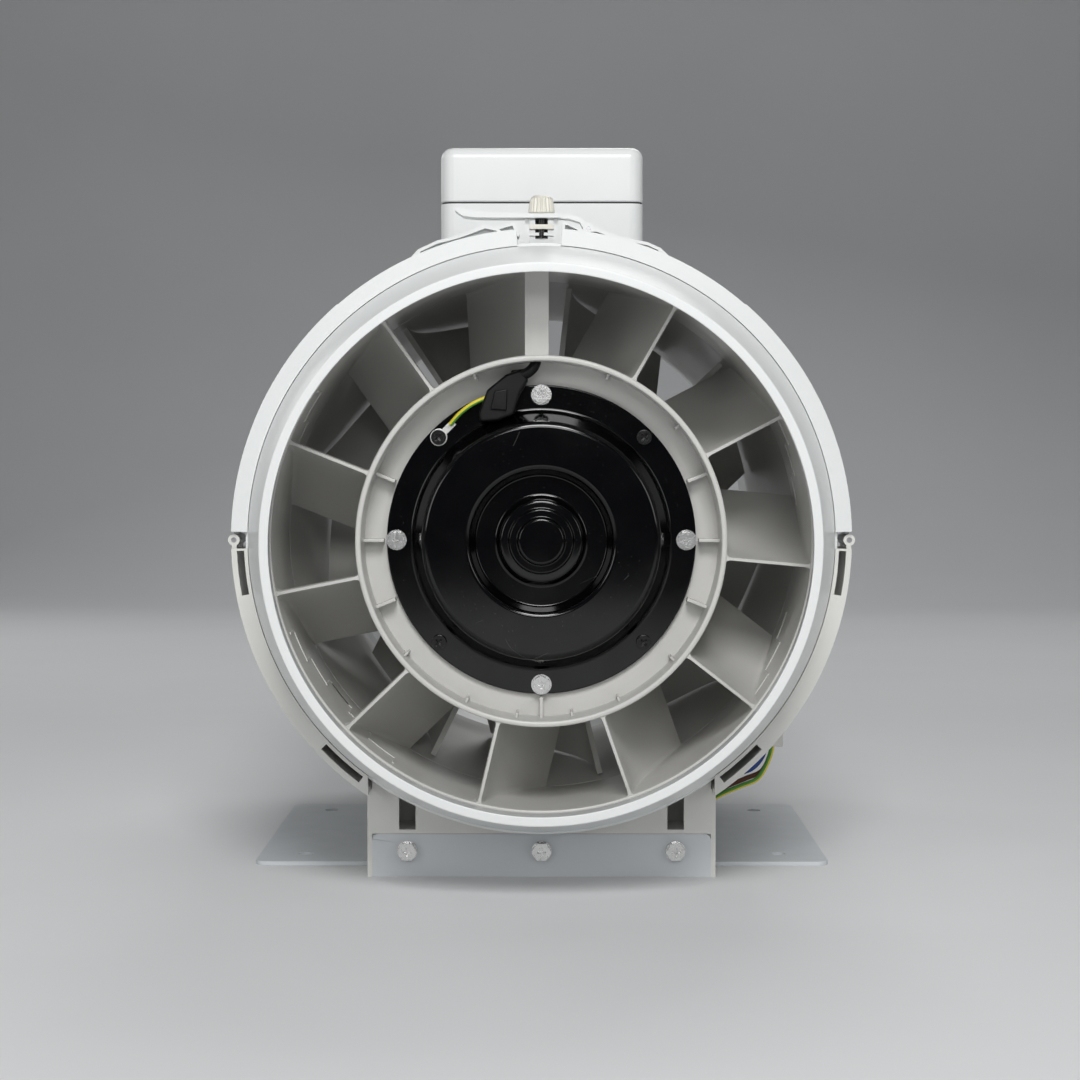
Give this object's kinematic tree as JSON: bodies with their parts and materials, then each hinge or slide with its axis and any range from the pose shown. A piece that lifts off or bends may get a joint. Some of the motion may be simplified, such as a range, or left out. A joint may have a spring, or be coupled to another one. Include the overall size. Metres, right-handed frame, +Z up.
{
  "type": "inline duct fan",
  "caption": "Mixed-flow inline fan for 250 mm round duct: white plastic body with guide vanes, two hinged clamp rings, terminal box, on a painted steel bracket.",
  "frame": {"origin": "on the surface that the bracket stands on, below the middle of the fan", "axes": "+Z up; +Y along the duct axis from the outlet end to the inlet end; +X to the right seen from the outlet"},
  "size_m": [0.2916, 0.386, 0.351],
  "materials": {
    "white_plastic": "satin moulded ABS",
    "support_plastic": "moulded, slightly warm white",
    "vane_plastic": "moulded, fine grain",
    "bracket_paint": "semi-gloss powder coat",
    "bright_plate": "bright nickel plate",
    "black_enamel": "gloss black enamel",
    "black_oxide": "black oxide",
    "seal_rubber": "matt",
    "ground_steel": "ground",
    "laminations": "stacked sheet",
    "copper_wire": "enamelled copper",
    "tinned_metal": "tinned",
    "earth_sheath": "yellow and green striped PVC",
    "brown_sheath": "brown PVC",
    "blue_sheath": "dark blue PVC",
    "black_sheath": "black PVC",
    "gland_plastic": "dark grey nylon",
    "block_plastic": "natural nylon",
    "knob_plastic": "cream nylon"
  },
  "bodies": {
    "fixed_body": {"mounting_bracket": "bracket_paint", "bracket_bolts": "bright_plate", "front_cradle": "support_plastic", "rear_cradle": "support_plastic", "front_spigot": "white_plastic", "rear_spigot": "white_plastic", "front_seal": "seal_rubber", "rear_seal": "seal_rubber", "fan_casing": "white_plastic", "inlet_cone": "vane_plastic", "guide_vane_housing": "vane_plastic", "front_bearing": "ground_steel", "rear_bearing": "ground_steel", "stator_core": "laminations", "stator_windings": "copper_wire", "motor_can": "black_enamel", "motor_end_shield": "black_enamel", "motor_screws": "bright_plate", "shield_screws": "black_oxide", "earth_tag": "tinned_metal", "earth_wire": "earth_sheath", "motor_cable": "black_sheath", "cable_clamp": "black_sheath", "terminal_box": "white_plastic", "box_gasket": "seal_rubber", "box_lid": "white_plastic", "lid_screws": "bright_plate", "terminal_block": "block_plastic", "run_capacitor": "block_plastic", "cable_gland": "gland_plastic", "gland_nut": "gland_plastic", "front_hinge_pins": "ground_steel", "rear_hinge_pins": "ground_steel", "lead_clip": "support_plastic", "earth_lead": "earth_sheath", "brown_lead": "brown_sheath", "blue_lead": "blue_sheath", "earth_ferrule": "tinned_metal", "brown_ferrule": "tinned_metal", "blue_ferrule": "tinned_metal"},
    "rotor": {"impeller": "vane_plastic", "impeller_cap": "vane_plastic", "impeller_nut": "ground_steel", "motor_shaft": "ground_steel", "rotor_core": "laminations"},
    "front_right_clamp": {"front_right_arm": "white_plastic", "front_lever_pin": "ground_steel"},
    "front_left_clamp": {"front_left_arm": "white_plastic"},
    "front_latch": {"front_lever": "white_plastic", "front_nut_bar": "white_plastic"},
    "front_thumb_screw": {"front_knob": "knob_plastic", "front_screw": "black_oxide"},
    "rear_right_clamp": {"rear_right_arm": "white_plastic", "rear_lever_pin": "ground_steel"},
    "rear_left_clamp": {"rear_left_arm": "white_plastic"},
    "rear_latch": {"rear_lever": "white_plastic", "rear_nut_bar": "white_plastic"},
    "rear_thumb_screw": {"rear_knob": "knob_plastic", "rear_screw": "black_oxide"}
  },
  "joints": [
    {"name": "impeller_spin", "type": "hinge", "parent": "fixed_body", "child": "rotor", "pos_m": [0, 0, 0.16], "axis": [0, 1, 0], "continuous": true},
    {"name": "front_right_clamp_swing", "type": "hinge", "parent": "fixed_body", "child": "front_right_clamp", "pos_m": [0.1431, -0.119, 0.16], "axis": [0, 1, 0], "range_deg": [0, 50]},
    {"name": "front_latch_lift", "type": "hinge", "parent": "front_right_clamp", "child": "front_latch", "pos_m": [0.022, -0.119, 0.305], "axis": [0, 1, 0], "range_deg": [0, 110]},
    {"name": "front_left_clamp_swing", "type": "hinge", "parent": "fixed_body", "child": "front_left_clamp", "pos_m": [-0.1431, -0.119, 0.16], "axis": [0, -1, 0], "range_deg": [0, 22.5]},
    {"name": "front_thumb_screw_turn_out", "type": "slide", "parent": "front_latch", "child": "front_thumb_screw", "axis": [0, 0, 1], "range_m": [0, 0.005]},
    {"name": "rear_right_clamp_swing", "type": "hinge", "parent": "fixed_body", "child": "rear_right_clamp", "pos_m": [0.1431, 0.119, 0.16], "axis": [0, 1, 0], "range_deg": [0, 50]},
    {"name": "rear_latch_lift", "type": "hinge", "parent": "rear_right_clamp", "child": "rear_latch", "pos_m": [0.022, 0.119, 0.305], "axis": [0, 1, 0], "range_deg": [0, 110]},
    {"name": "rear_left_clamp_swing", "type": "hinge", "parent": "fixed_body", "child": "rear_left_clamp", "pos_m": [-0.1431, 0.119, 0.16], "axis": [0, -1, 0], "range_deg": [0, 22.5]},
    {"name": "rear_thumb_screw_turn_out", "type": "slide", "parent": "rear_latch", "child": "rear_thumb_screw", "axis": [0, 0, 1], "range_m": [0, 0.005]}
  ],
  "couplings": [
    {"joint": "front_left_clamp_swing", "follows": "front_latch_lift", "ratio": 0.2},
    {"joint": "rear_left_clamp_swing", "follows": "rear_latch_lift", "ratio": 0.2}
  ]
}
